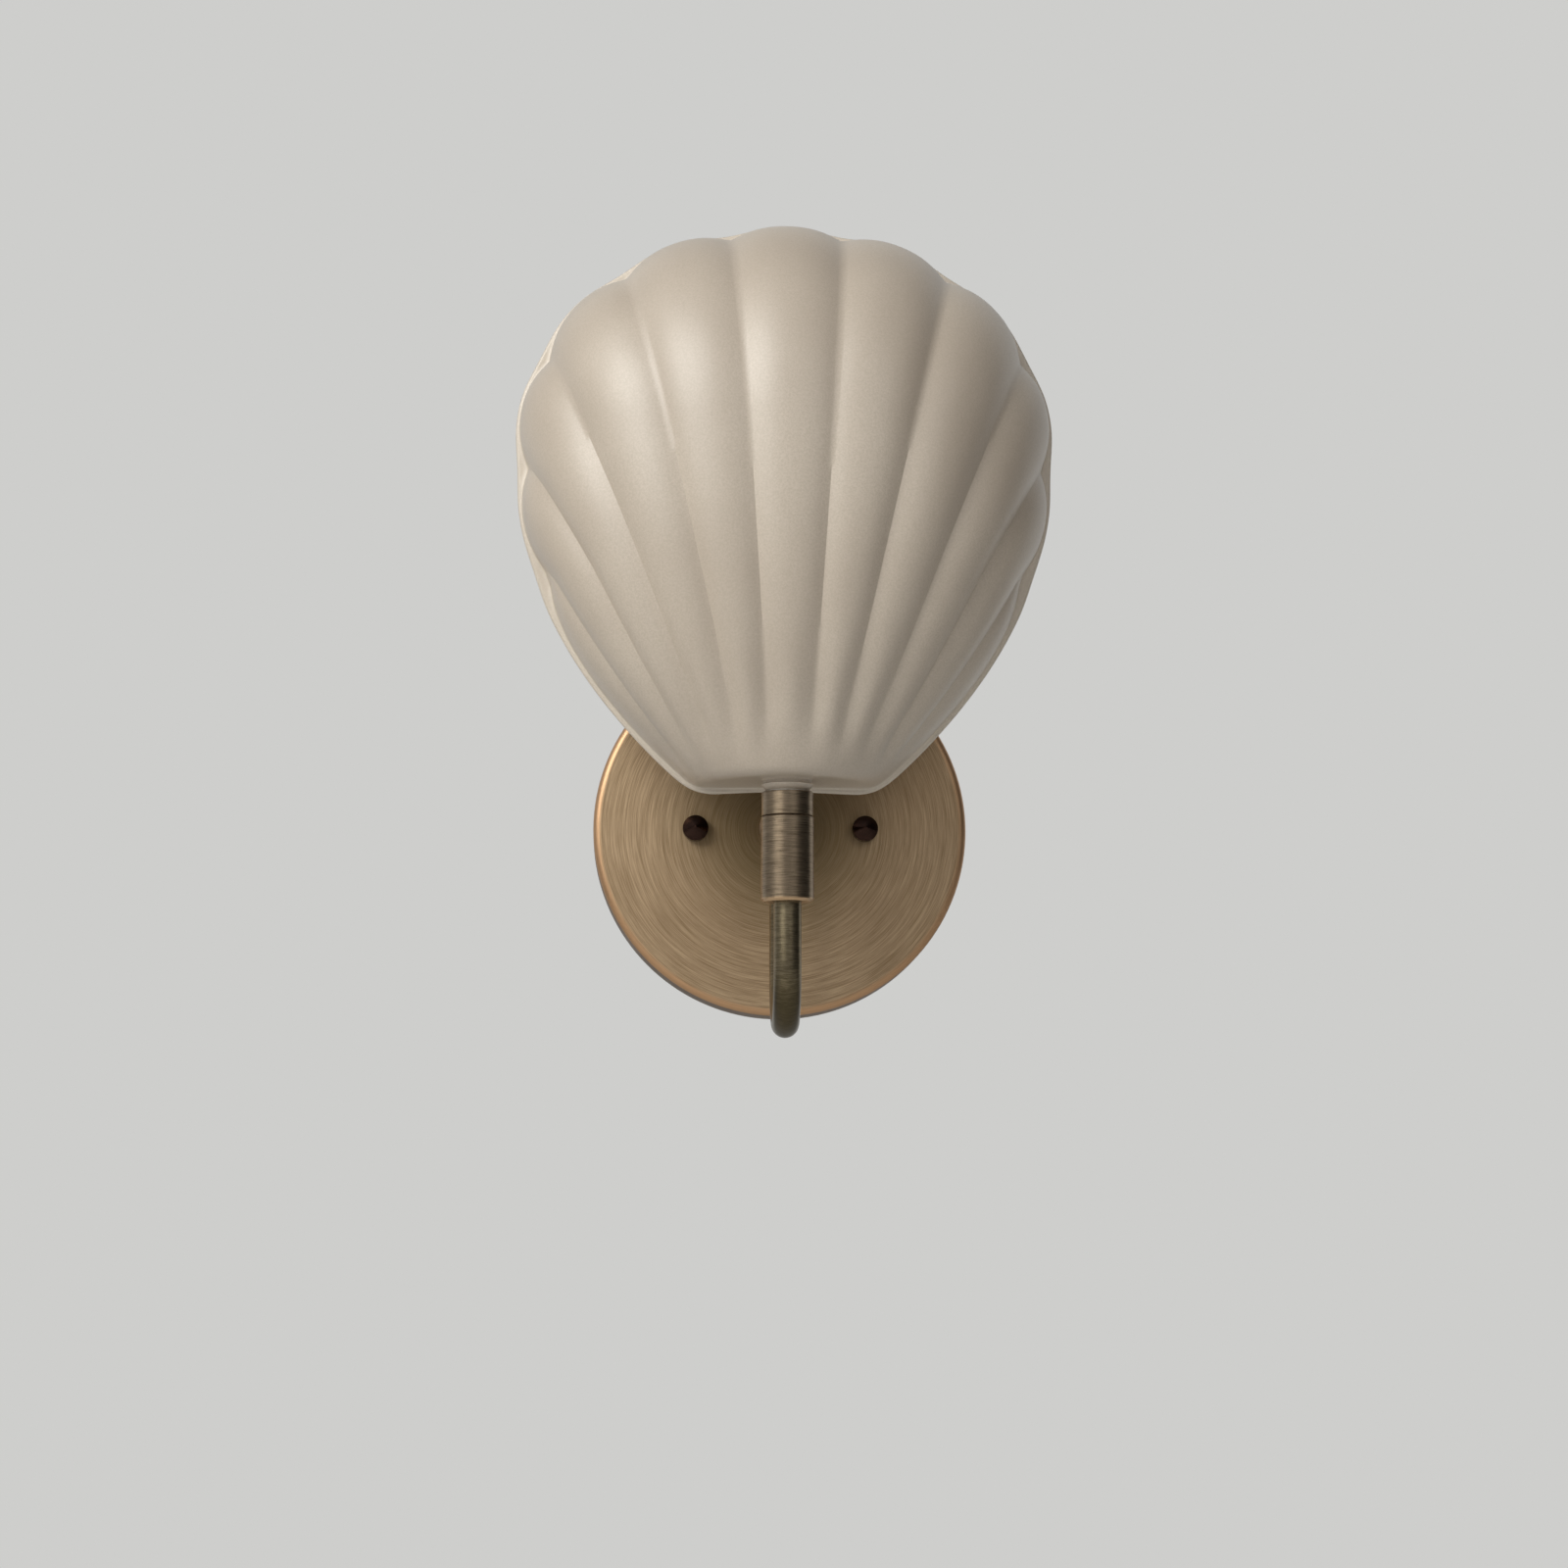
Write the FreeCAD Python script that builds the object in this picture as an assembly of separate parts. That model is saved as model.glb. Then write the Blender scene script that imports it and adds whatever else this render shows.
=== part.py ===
import FreeCAD, Part
import math
import os

# Shell wall sconce, in millimetres, +Z up.
# The wall is the plane y = 0, the lamp stands out towards -Y, and the origin
# is the middle of the canopy's back.

os.makedirs("parts", exist_ok=True)
V = FreeCAD.Vector
Y_AXIS = V(0, 1, 0)
Z_AXIS = V(0, 0, 1)
NEAR = V(0, -1, 0)

# ---------------------------------------------------------------- clearances
slide_gap = 0.05          # radial gap where one piece passes through another
turn_gap = 0.06           # radial gap of the ring's spigot in the barrel
seam_gap = 0.3            # between the barrel's top and the ring that turns on it
screw_gap = 0.20          # radial gap of a screw in a plain hole
seat_gap = 0.05           # between the bulb and what it stands on
overcut = 1.0             # how far a cutting tool starts outside the metal

# -------------------------------------------------------------------- canopy
canopy_radius = 66.5
canopy_depth = 20.0
canopy_wall = 1.2
canopy_edge = 2.8         # rounding of the front edge

# ------------------------------------------------- crossbar and canopy screws
bar_width = 18.0
bar_sheet = 2.0
bar_raise = 3.0           # how far the middle of the bar stands off the wall
bar_beside_head = 0.7     # flat bar left beside a stud's head, before the bend
bar_past_slot = 1.9       # bar left beyond the end of a wall slot
bar_middle_hole = 5.3
slot_at = 43.5            # middle of each wall slot, from the centre
slot_half_width = 2.4
slot_half_length = 4.6
stud_spread = 60.4
stud_radius = 1.95
stud_head_radius = 3.6
stud_head_height = 2.2
driver_slot = 0.9         # width and depth of the screwdriver slots
stud_nut_flats = 7.0
stud_nut_height = 3.0
ground_at = 16.0
ground_head_radius = 3.9
ground_head_height = 2.4
ground_shank = 4.6

# ------------------------------------------------------------------ cap nuts
cap_radius = 4.55
cap_body = 4.6            # cylindrical part
cap_tip = 4.4             # pointed part
cap_bore_depth = 5.6
cap_bore_point = 0.6      # cone left by the drill at the end of the bore
cap_edge = 0.3            # small chamfers at both ends of the body

# ----------------------------------------------------------------------- arm
tube_radius = 4.75
tube_bore = 3.75
tube_behind_nut = 3.8     # thread standing out behind the locknut
tube_above_nut = 3.5      # thread standing out above the nut in the barrel
arm_straight = 3.0        # straight tube in front of the collar
arm_top_bend = 14.0
arm_u_bend = 20.0
arm_bottom = -77.0        # lowest point of the tube
collar_radius = 7.6
collar_length = 8.0
collar_chamfer = 1.2
arm_nut_flats = 14.0
arm_nut_height = 4.0
arm_washer_radius = 9.0
arm_washer_sheet = 1.0

# ----------------------------------------------------- socket barrel and ring
barrel_radius = 9.05
barrel_bore = 7.6
barrel_low = -32.0
barrel_length = 29.0
barrel_floor = 6.0
barrel_chamfer = 0.9
barrel_nut_flats = 12.0
barrel_nut_height = 4.0
ring_radius = 8.85
ring_height = 8.3
spigot_depth = 6.5
turned_edge = 0.2         # small chamfers at the seam of barrel and ring
ring_top_edge = 0.3
spigot_edge = 0.4

# -------------------------------------------------- nipple, gaskets and nuts
nipple_radius = 4.9
nipple_bore = 3.5
nipple_set_in = 1.7       # from the spigot's lower end up to the nipple's
gasket_sheet = 0.4
upper_gasket_sheet = 0.8
gasket_radius = 7.1
upper_gasket_radius = 8.6
clamp_washer_radius = 9.2
clamp_washer_sheet = 1.2
clamp_nut_flats = 14.0
clamp_nut_height = 4.0
holder_nut_flats = 11.0
holder_nut_height = 3.0
nut_chamfer = 0.5
nipple_above = 0.6        # thread left standing above the holder nut

# --------------------------------------------------------------------- shade
glass = 3.0               # wall of the glass
rim_behind = 26.0         # rim plane, behind the lamp axis
widest_level = 128.0      # height at which the shell is widest
rim_top = 209.4
rim_half_width = 94.5
rim_plate = 2.6           # thickness of the thin rim, front to back
rim_step = 1.3            # how far the rim stands out past the lobes
dome_depth = 70.0         # rim plane to the front of the dome
floor_depth = 40.0
floor_half_width = 31.0
flare = 2.17              # power of the curve from the floor to the widest level
top_round = 2.1           # power of the rounded top, as wide as it is high
lobe_centre = 108.0       # height from which the lobes fan out at the rim
lobe_count = 11           # whole lobes, with half a lobe more at either side
lobe_fan = 104.85         # degrees from straight up to the last groove at the rim
last_lobe_turn = 3.6      # degrees of the rim that the half lobe takes
floor_first = 11.4        # degrees round the floor edge to the first groove
lobe_depth = 0.042        # groove depth, as a share of the distance to the axis
lobe_fade = 0.11          # share of the height in which the grooves start
axis_soften = 10.0        # how softly the grooves' axis turns straight below the lobe centre
rim_scallop = 2.4         # depth of the rim's own scallops
rim_corner_turn = 157.0   # degrees from straight up to where a lower corner starts
rim_corner_run = 8.5      # length of a lower corner along the bottom
rim_below = 0.6           # how far the rim's lower corners reach below the floor
rim_bottom_rise = 1.1     # how far the rim's bottom edge rises in the middle
boss_low_radius = 7.35
boss_high_radius = 8.9
boss_height = 2.2
shell_hole_gap = 0.3      # radial gap round the nipple in the glass

# ------------------------------------------------------- lampholder and bulb
bracket_sheet = 1.2
leg_width = 6.0
leg_outer = 8.0
leg_below_top = 5.0       # the legs end this far below the lampholder's top
holder_radius = 8.0
holder_height = 20.0
holder_above_nipple = 3.0
holder_screw_up = 8.0     # screws, above the lampholder's underside
holder_screw_radius = 1.2
holder_screw_length = 4.0
holder_screw_head = 2.2
holder_screw_dome = 1.4   # height of the head
holder_screw_rim = 0.8    # height of the head's straight edge
holder_screw_room = 0.25  # hole left beyond the end of each screw
pin_spread = 9.0
pin_radius = 1.15
pin_length = 8.0
pin_in_base = 3.0
pin_well = 9.5
pin_well_gap = 0.25
contact_half = 1.7
contact_height = 6.0
contact_set_in = 0.5
wire_radius = 0.8
bulb_base_radius = 7.4
bulb_base_height = 9.0
bulb_base_edge = 0.6
bulb_base_lip = 1.0
bulb_base_collar = 3.0    # the part that carries the cover inside
cover_radius = 8.0
cover_wall = 1.0
cover_height = 44.0
stick_half = 2.6
stick_board = 1.6         # thickness of the board that carries the chips
stick_height = 34.0
stick_set_in = 1.5        # depth of the board's slot in the bulb's base
chip_width = 3.0
chip_height = 2.4
chip_proud = 0.4
chip_rows = 6
chip_pitch = 5.0

# places that follow from the sizes above, counted out from the wall
arm_nut_level = canopy_depth - canopy_wall - arm_washer_sheet - arm_nut_height
tube_inside = arm_nut_level - tube_behind_nut
arm_rear = canopy_depth + collar_length + arm_straight + arm_top_bend
arm_reach = arm_rear + 2 * arm_u_bend
rim_plane = -(arm_reach - rim_behind)
bar_face = bar_raise + bar_sheet
bar_bend = stud_spread / 2 + stud_head_radius + bar_beside_head
bar_half = slot_at + slot_half_length + bar_past_slot

# levels that follow from the sizes above, from the barrel upwards
barrel_nut_low = barrel_low + barrel_floor
tube_end = barrel_nut_low + barrel_nut_height + tube_above_nut
ring_low = barrel_low + barrel_length + seam_gap
ring_high = ring_low + ring_height
nipple_low = ring_low - spigot_depth + nipple_set_in
boss_low = ring_high + gasket_sheet
floor_level = boss_low + boss_height
upper_gasket_low = floor_level + glass
clamp_washer_low = upper_gasket_low + upper_gasket_sheet
clamp_nut_low = clamp_washer_low + clamp_washer_sheet
bracket_low = clamp_nut_low + clamp_nut_height
holder_nut_low = bracket_low + bracket_sheet
nipple_high = holder_nut_low + holder_nut_height + nipple_above
holder_low = nipple_high + holder_above_nipple
holder_high = holder_low + holder_height
holder_half = leg_outer - bracket_sheet - slide_gap
bulb_low = holder_high + seat_gap
cover_low = bulb_low + bulb_base_height + seat_gap

# lobes from the middle to either side, and how far apart they are at rim and floor
side_lobes = lobe_count / 2
lobe_pitch = lobe_fan / (side_lobes - 1)
floor_pitch = (90.0 - floor_first) / (side_lobes - 0.5)


def tube_along(start, axis, length, outer, inner):
    """A straight sleeve, bored right through."""
    body = Part.makeCylinder(outer, length, start, axis)
    return body.cut(Part.makeCylinder(inner, length, start, axis))


def hexagon(start, axis, side_to_side, height, bore):
    """A hexagon nut with a plain bore and its corners turned off at both ends."""
    corner = side_to_side / math.sqrt(3)
    turns = [math.radians(60 * k) for k in range(7)]
    ring = [V(corner * math.cos(turn), corner * math.sin(turn), 0) for turn in turns]
    nut = Part.Face(Part.makePolygon(ring)).extrude(V(0, 0, height))
    face = corner - nut_chamfer * 1.6
    crown = Part.makeCone(face, corner, nut_chamfer, V(0, 0, 0), Z_AXIS)
    crown = crown.fuse(Part.makeCylinder(corner, height - 2 * nut_chamfer, V(0, 0, nut_chamfer), Z_AXIS))
    crown = crown.fuse(Part.makeCone(corner, face, nut_chamfer, V(0, 0, height - nut_chamfer), Z_AXIS))
    nut = nut.common(crown.removeSplitter())
    nut = nut.cut(Part.makeCylinder(bore, height, V(0, 0, 0), Z_AXIS))
    nut.Placement = FreeCAD.Placement(start, FreeCAD.Rotation(Z_AXIS, axis))
    return nut


def turned(profile, start, axis):
    """Revolve (radius, height) pairs into a turned piece standing on start along axis."""
    points = [V(r, 0, h) for r, h in profile]
    points.append(points[0])
    body = Part.Face(Part.makePolygon(points)).revolve(V(0, 0, 0), Z_AXIS, 360)
    body.Placement = FreeCAD.Placement(start, FreeCAD.Rotation(Z_AXIS, axis))
    return body


# ------------------------------------------------------------- the wall plate
def rounded_disc(radius, depth, edge):
    """A disc standing on the wall, its front edge rounded."""
    disc = Part.makeCylinder(radius, depth, V(0, 0, 0), NEAR)
    front = [e for e in disc.Edges if e.BoundBox.YMax < -depth + 0.01]
    return disc.makeFillet(edge, front)


def make_canopy():
    inner_edge = canopy_edge - canopy_wall
    cup = rounded_disc(canopy_radius, canopy_depth, canopy_edge)
    cup = cup.cut(rounded_disc(canopy_radius - canopy_wall, canopy_depth - canopy_wall, inner_edge))
    cup = cup.cut(Part.makeCylinder(tube_radius + slide_gap, canopy_depth, V(0, 0, 0), NEAR))
    for side in (-1, 1):
        hole_at = V(side * stud_spread / 2, 0, 0)
        cup = cup.cut(Part.makeCylinder(stud_radius + screw_gap, canopy_depth, hole_at, NEAR))
    return cup


def bar_drill(x, radius):
    """The drill for a round hole through the crossbar."""
    return Part.makeCylinder(radius, bar_face + 2 * overcut, V(x, overcut, 0), NEAR)


def make_crossbar():
    inner = bar_bend + bar_raise
    shift = bar_sheet * math.tan(math.radians(22.5))
    right = [
        (bar_bend, -bar_raise), (inner, 0), (bar_half, 0),
        (bar_half, -bar_sheet), (inner + shift, -bar_sheet), (bar_bend + shift, -bar_face),
    ]
    left = [(-x, y) for x, y in reversed(right)]
    outline = [V(x, y, -bar_width / 2) for x, y in right + left]
    outline.append(outline[0])
    bar = Part.Face(Part.makePolygon(outline)).extrude(V(0, 0, bar_width))
    bar = bar.cut(bar_drill(0, bar_middle_hole))
    bar = bar.cut(bar_drill(ground_at, stud_radius + slide_gap))
    straight = slot_half_length - slot_half_width
    for side in (-1, 1):
        bar = bar.cut(bar_drill(side * stud_spread / 2, stud_radius + slide_gap))
        corner = V(side * slot_at - straight, -bar_face, -slot_half_width)
        slot = Part.makeBox(2 * straight, bar_face + overcut, 2 * slot_half_width, corner)
        slot = slot.fuse(bar_drill(side * slot_at + straight, slot_half_width))
        slot = slot.fuse(bar_drill(side * slot_at - straight, slot_half_width))
        bar = bar.cut(slot)
    return bar


def slotted(screw, top, radius, into):
    """The screw with a driver slot across its head; into is the way the slot goes down."""
    half = driver_slot / 2
    low = min(0, into * driver_slot)
    tool = Part.makeBox(2 * radius, driver_slot, driver_slot, top + V(-radius, low, -half))
    return screw.cut(tool)


def make_canopy_studs():
    studs = []
    head_back = bar_raise - stud_head_height
    length = canopy_depth + cap_bore_depth - cap_bore_point - head_back
    profile = [
        (0, 0), (stud_head_radius - 0.5, 0), (stud_head_radius, 0.6), (stud_head_radius, stud_head_height),
        (stud_radius, stud_head_height), (stud_radius, length), (0, length),
    ]
    for side in (-1, 1):
        head_at = V(side * stud_spread / 2, -head_back, 0)
        studs.append(slotted(turned(profile, head_at, NEAR), head_at, stud_head_radius - 1.0, -1))
    return Part.makeCompound(studs)


def make_stud_nuts():
    bore = stud_radius + slide_gap
    seats = [V(side * stud_spread / 2, -bar_face, 0) for side in (-1, 1)]
    return Part.makeCompound([hexagon(seat, NEAR, stud_nut_flats, stud_nut_height, bore) for seat in seats])


def make_cap_nuts():
    bore = stud_radius + slide_gap
    profile = [
        (bore, 0), (cap_radius - cap_edge, 0), (cap_radius, cap_edge), (cap_radius, cap_body - cap_edge),
        (cap_radius - 0.25, cap_body), (0.35, cap_body + cap_tip - 0.15), (0, cap_body + cap_tip),
        (0, cap_bore_depth), (bore, cap_bore_depth - cap_bore_point),
    ]
    seats = [V(side * stud_spread / 2, -canopy_depth, 0) for side in (-1, 1)]
    return Part.makeCompound([turned(profile, seat, NEAR) for seat in seats])


def make_ground_screw():
    length = ground_head_height + ground_shank
    profile = [
        (0, 0), (ground_head_radius - 0.6, 0), (ground_head_radius, 0.8),
        (ground_head_radius, ground_head_height), (stud_radius, ground_head_height),
        (stud_radius, length), (0, length),
    ]
    top = V(ground_at, -bar_face - ground_head_height, 0)
    return slotted(turned(profile, top, Y_AXIS), top, ground_head_radius - 1.1, 1)


# -------------------------------------------------------------------- the arm
def arm_path():
    """Centre line of the arm: out from the wall, down, round the U and up the lamp axis."""
    rear = -arm_rear
    turn = arm_bottom + tube_radius + arm_u_bend
    half = math.sqrt(0.5)
    corner = V(0, rear + arm_top_bend, -arm_top_bend)
    out = V(0, rear + arm_top_bend, 0)
    down = V(0, rear, -arm_top_bend)
    bend_middle = corner + V(0, -arm_top_bend * half, arm_top_bend * half)
    low_rear = V(0, rear, turn)
    low_front = V(0, -arm_reach, turn)
    lowest = V(0, rear - arm_u_bend, turn - arm_u_bend)
    edges = [
        Part.makeLine(V(0, -tube_inside, 0), out),
        Part.Arc(out, bend_middle, down).toShape(),
        Part.makeLine(down, low_rear),
        Part.Arc(low_rear, lowest, low_front).toShape(),
        Part.makeLine(low_front, V(0, -arm_reach, tube_end)),
    ]
    return Part.Wire(edges)


def make_arm_tube():
    path = arm_path()
    start = V(0, -tube_inside, 0)
    outer = Part.Wire(Part.makeCircle(tube_radius, start, NEAR))
    inner = Part.Wire(Part.makeCircle(tube_bore, start, NEAR))
    solid = path.makePipeShell([outer], True, False)
    return solid.cut(path.makePipeShell([inner], True, False))


def make_arm_collar():
    bore = tube_radius + slide_gap
    profile = [
        (bore, 0), (collar_radius, 0), (collar_radius, collar_length - collar_chamfer),
        (collar_radius - collar_chamfer, collar_length), (bore, collar_length),
    ]
    return turned(profile, V(0, -canopy_depth, 0), NEAR)


def make_arm_washer():
    seat = V(0, -arm_nut_level - arm_nut_height, 0)
    return tube_along(seat, NEAR, arm_washer_sheet, arm_washer_radius, tube_radius + slide_gap)


def make_arm_locknut():
    seat = V(0, -arm_nut_level, 0)
    return hexagon(seat, NEAR, arm_nut_flats, arm_nut_height, tube_radius + slide_gap)


# ---------------------------------------------------- socket barrel and above
def on_axis(level):
    return V(0, -arm_reach, level)


def make_socket_barrel():
    hole = tube_radius + slide_gap
    profile = [
        (hole, 0), (barrel_radius - barrel_chamfer, 0), (barrel_radius, barrel_chamfer),
        (barrel_radius, barrel_length - turned_edge), (barrel_radius - turned_edge, barrel_length),
        (barrel_bore, barrel_length), (barrel_bore, barrel_floor), (hole, barrel_floor),
    ]
    return turned(profile, on_axis(barrel_low), Z_AXIS)


def make_barrel_nut():
    bore = tube_radius + slide_gap
    return hexagon(on_axis(barrel_nut_low), Z_AXIS, barrel_nut_flats, barrel_nut_height, bore)


def make_shade_ring():
    bore = nipple_radius + slide_gap
    spigot = barrel_bore - turn_gap
    profile = [
        (bore, -spigot_depth), (spigot - spigot_edge, -spigot_depth), (spigot, -spigot_depth + spigot_edge),
        (spigot, 0), (ring_radius - turned_edge, 0), (ring_radius, turned_edge),
        (ring_radius, ring_height - ring_top_edge), (ring_radius - ring_top_edge, ring_height),
        (bore, ring_height),
    ]
    return turned(profile, on_axis(ring_low), Z_AXIS)


def make_nipple():
    return tube_along(on_axis(nipple_low), Z_AXIS, nipple_high - nipple_low, nipple_radius, nipple_bore)


def round_nipple(level, height, radius):
    """A flat ring that the nipple passes through."""
    return tube_along(on_axis(level), Z_AXIS, height, radius, nipple_radius + slide_gap)


def make_lower_gasket():
    return round_nipple(ring_high, gasket_sheet, gasket_radius)


def make_upper_gasket():
    return round_nipple(upper_gasket_low, upper_gasket_sheet, upper_gasket_radius)


def make_clamp_washer():
    return round_nipple(clamp_washer_low, clamp_washer_sheet, clamp_washer_radius)


def make_clamp_nut():
    bore = nipple_radius + slide_gap
    return hexagon(on_axis(clamp_nut_low), Z_AXIS, clamp_nut_flats, clamp_nut_height, bore)


# ------------------------------------------------------------ the glass shell
def shell_size(level, inset):
    """Half width and depth of the dome at a level, taken inset inside the lobes' outline."""
    wide = rim_half_width - rim_step - inset
    deep = dome_depth - inset
    if level < widest_level:
        share = ((widest_level - level) / (widest_level - floor_level)) ** flare
        return wide - (wide - floor_half_width + inset) * share, deep - (deep - floor_depth + inset) * share
    rise = min(1.0, (level - widest_level) / (rim_top - rim_step - inset - widest_level))
    share = (1.0 - rise ** top_round) ** (1.0 / top_round)
    return wide * share, deep * share


def rim_reach(angle, inset):
    """Distance from the lobe centre to the outline, at an angle from straight up."""
    low = 0.0
    high = 200.0
    for _ in range(50):
        reach = (low + high) / 2
        level = lobe_centre + reach * math.cos(angle)
        top = rim_top - rim_step - inset
        inside = level < top and reach * abs(math.sin(angle)) < shell_size(level, inset)[0]
        if inside:
            low = reach
        else:
            high = reach
    return low


def floor_angle(lobe):
    """Angle round the floor edge at which a lobe coordinate starts."""
    side = abs(lobe)
    angle = 2 * floor_first * side if side < 0.5 else floor_first + floor_pitch * (side - 0.5)
    return math.copysign(math.radians(min(angle, 90.0)), lobe)


def rim_angle(lobe):
    """Angle from straight up at which a lobe coordinate meets the rim."""
    side = abs(lobe)
    last = side_lobes - 1
    angle = lobe_pitch * side if side < last else lobe_fan + last_lobe_turn * (side - last)
    return math.copysign(math.radians(angle), lobe)


def shell_point(lobe, rise, inset):
    """A point of the fluted dome: lobe counts across the lobes, rise runs from floor to rim."""
    start = floor_level + inset
    half_width = shell_size(start, inset)[0]
    side = floor_angle(lobe)
    edge = rim_angle(lobe)
    reach = rim_reach(edge, inset)
    along = math.sin(rise * math.pi / 2)
    x = half_width * math.sin(side) * (1 - along) + reach * math.sin(edge) * along
    z = start * (1 - along) + (lobe_centre + reach * math.cos(edge)) * along
    # the outer lobes follow the curved flank instead of the straight line
    last = rim_angle(side_lobes)
    last_reach = rim_reach(last, inset)
    last_level = lobe_centre + last_reach * math.cos(last)
    share = min(1.0, (z - start) / (last_level - start))
    straight = half_width * (1 - share) + last_reach * math.sin(last) * share
    if share < 1.0:
        x += math.copysign((abs(lobe) / side_lobes) ** 4 * (shell_size(z, inset)[0] - straight), lobe)
    wide, deep = shell_size(z, inset)
    across = min(1.0, abs(x) / wide) if wide > 0 else 1.0
    depth = 0.0 if rise >= 1.0 or abs(lobe) >= side_lobes else deep * math.sqrt(1 - across * across)
    # the grooves pull the surface towards the lamp's middle line; the last lobe is half a lobe
    # that dies away into its groove at the upper end
    place = abs(lobe) - math.floor(abs(lobe) + 0.5)
    if abs(lobe) > side_lobes - 1:
        place = (side_lobes - abs(lobe)) / 2
    groove = abs(2 * place) ** 2.2
    if abs(lobe) > side_lobes - 1:
        groove += (1 - groove) * along ** 6
    fade = min(1.0, along / lobe_fade)
    pull = 1.0 - lobe_depth * groove * fade * fade * (3 - 2 * fade)
    lift = z - lobe_centre
    centre = lobe_centre + (lift - math.hypot(lift, axis_soften)) / 2
    return V(x * pull, rim_plane - depth * pull, centre + (z - centre) * pull if z > start else z)


def skin(inset):
    """The lobe faces of one side of the glass, with their lower, upper and flank edges."""
    across = 6
    along = 18
    faces = []
    lower = []
    upper = []
    flanks = []
    knots_u = [k / (across - 2.0) for k in range(across - 1)]
    knots_v = [k / (along - 2.0) for k in range(along - 1)]
    mults_u = [4] + [1] * (across - 3) + [4]
    mults_v = [4] + [1] * (along - 3) + [4]
    outer_lobe = lobe_count // 2
    for lobe in range(-outer_lobe, outer_lobe + 1):
        edges = [lobe - 0.5 + i / across for i in range(across + 1)]
        rows = [[shell_point(edge, j / along, inset) for j in range(along + 1)] for edge in edges]
        surface = Part.BSplineSurface()
        surface.buildFromPolesMultsKnots(rows, mults_u, mults_v, knots_u, knots_v, False, False, 3, 3)
        faces.append(surface.toShape())
        for ends, poles, mults, knots in (
                (lower, [row[0] for row in rows], mults_u, knots_u),
                (upper, [row[-1] for row in rows], mults_u, knots_u),
                (flanks, rows[0] if lobe == -outer_lobe else rows[-1], mults_v, knots_v)):
            if ends is flanks and abs(lobe) < outer_lobe:
                continue
            curve = Part.BSplineCurve()
            curve.buildFromPolesMultsKnots(poles, mults, knots, False, 3)
            ends.append(curve.toShape())
    return faces, lower, upper, flanks


def rim_outline():
    """Closed outline of the thin rim, with soft scallops above and rounded corners below."""
    steps = 90
    points = []
    for k in range(-steps, steps + 1):
        angle = math.radians(rim_corner_turn) * k / steps
        reach = rim_reach(angle, -rim_step)
        place = abs(angle) / math.radians(lobe_pitch)
        if place < side_lobes - 0.5:
            near = place - math.floor(place) - 0.5
            reach -= rim_scallop * math.cos(math.pi * near) ** 6
        points.append(V(reach * math.sin(angle), rim_plane, lobe_centre + reach * math.cos(angle)))
    right = points[-1]
    left = points[0]
    low = floor_level - rim_below
    slope = right - points[-2]
    knee = V(right.x - slope.x * (right.z - low) / slope.z, rim_plane, low)
    foot = V(knee.x - rim_corner_run, rim_plane, low)
    side = Part.BSplineCurve()
    side.interpolate(points)
    round_right = Part.BezierCurve()
    round_right.setPoles([right, knee, foot])
    round_left = Part.BezierCurve()
    round_left.setPoles([V(-foot.x, rim_plane, low), V(-knee.x, rim_plane, low), left])
    middle = Part.Arc(foot, V(0, rim_plane, low + rim_bottom_rise), V(-foot.x, rim_plane, low))
    return Part.Wire([side.toShape(), round_right.toShape(), middle.toShape(), round_left.toShape()])


def make_glass_shell():
    outer, outer_low, outer_up, outer_flanks = skin(0.0)
    inner, inner_low, inner_up, inner_flanks = skin(glass)
    planes = []
    backs = []
    for lows, ups, flanks in ((outer_low, outer_up, outer_flanks), (inner_low, inner_up, inner_flanks)):
        left = lows[0].Vertexes[0].Point
        right = lows[-1].Vertexes[-1].Point
        back = Part.makeLine(left, right)
        planes.append(Part.Face(Part.Wire(Part.__sortEdges__(lows + [back]))))
        backs.append(Part.Wire(Part.__sortEdges__(ups + flanks + [back])))
    planes.append(Part.Face(backs[0]).cut(Part.Face(backs[1])).Faces[0])
    shell = Part.makeShell(outer + inner + planes)
    shell.sewShape()
    body = Part.makeSolid(Part.Shell(shell.Faces))
    # the thin rim: a plate on the rim plane whose opening ends halfway into the wall
    faces, lows, ups, flanks = skin(glass / 2)
    back = Part.makeLine(lows[0].Vertexes[0].Point, lows[-1].Vertexes[-1].Point)
    opening = Part.Face(Part.Wire(Part.__sortEdges__(ups + flanks + [back])))
    plate = Part.Face(rim_outline()).extrude(V(0, -rim_plate, 0))
    plate = plate.cut(opening.extrude(V(0, -rim_plate, 0)))
    body = body.fuse(plate)
    boss = Part.makeCone(boss_low_radius, boss_high_radius, boss_height, on_axis(boss_low), Z_AXIS)
    body = body.fuse(boss)
    through = boss_height + glass + 2 * overcut
    start = on_axis(boss_low - overcut)
    body = body.cut(Part.makeCylinder(nipple_radius + shell_hole_gap, through, start, Z_AXIS))
    return body.removeSplitter()


# -------------------------------------------------------- lampholder and bulb
def make_holder_bracket():
    base = Part.makeCylinder(leg_outer, bracket_sheet, on_axis(bracket_low), Z_AXIS)
    height = holder_high - leg_below_top - bracket_low
    screw_level = holder_low + holder_screw_up
    for side in (-1, 1):
        near = leg_outer - bracket_sheet if side > 0 else -leg_outer
        corner = V(near, -arm_reach - leg_width / 2, bracket_low)
        leg = Part.makeBox(bracket_sheet, leg_width, height, corner)
        inside = V(side * (leg_outer - bracket_sheet - overcut), -arm_reach, screw_level)
        drill_length = bracket_sheet + 2 * overcut
        leg = leg.cut(Part.makeCylinder(holder_screw_radius + slide_gap, drill_length, inside, V(side, 0, 0)))
        base = base.fuse(leg)
    hole_length = bracket_sheet + 2 * overcut
    hole = Part.makeCylinder(nipple_radius + slide_gap, hole_length, on_axis(bracket_low - overcut), Z_AXIS)
    return base.cut(hole).removeSplitter()


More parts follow.
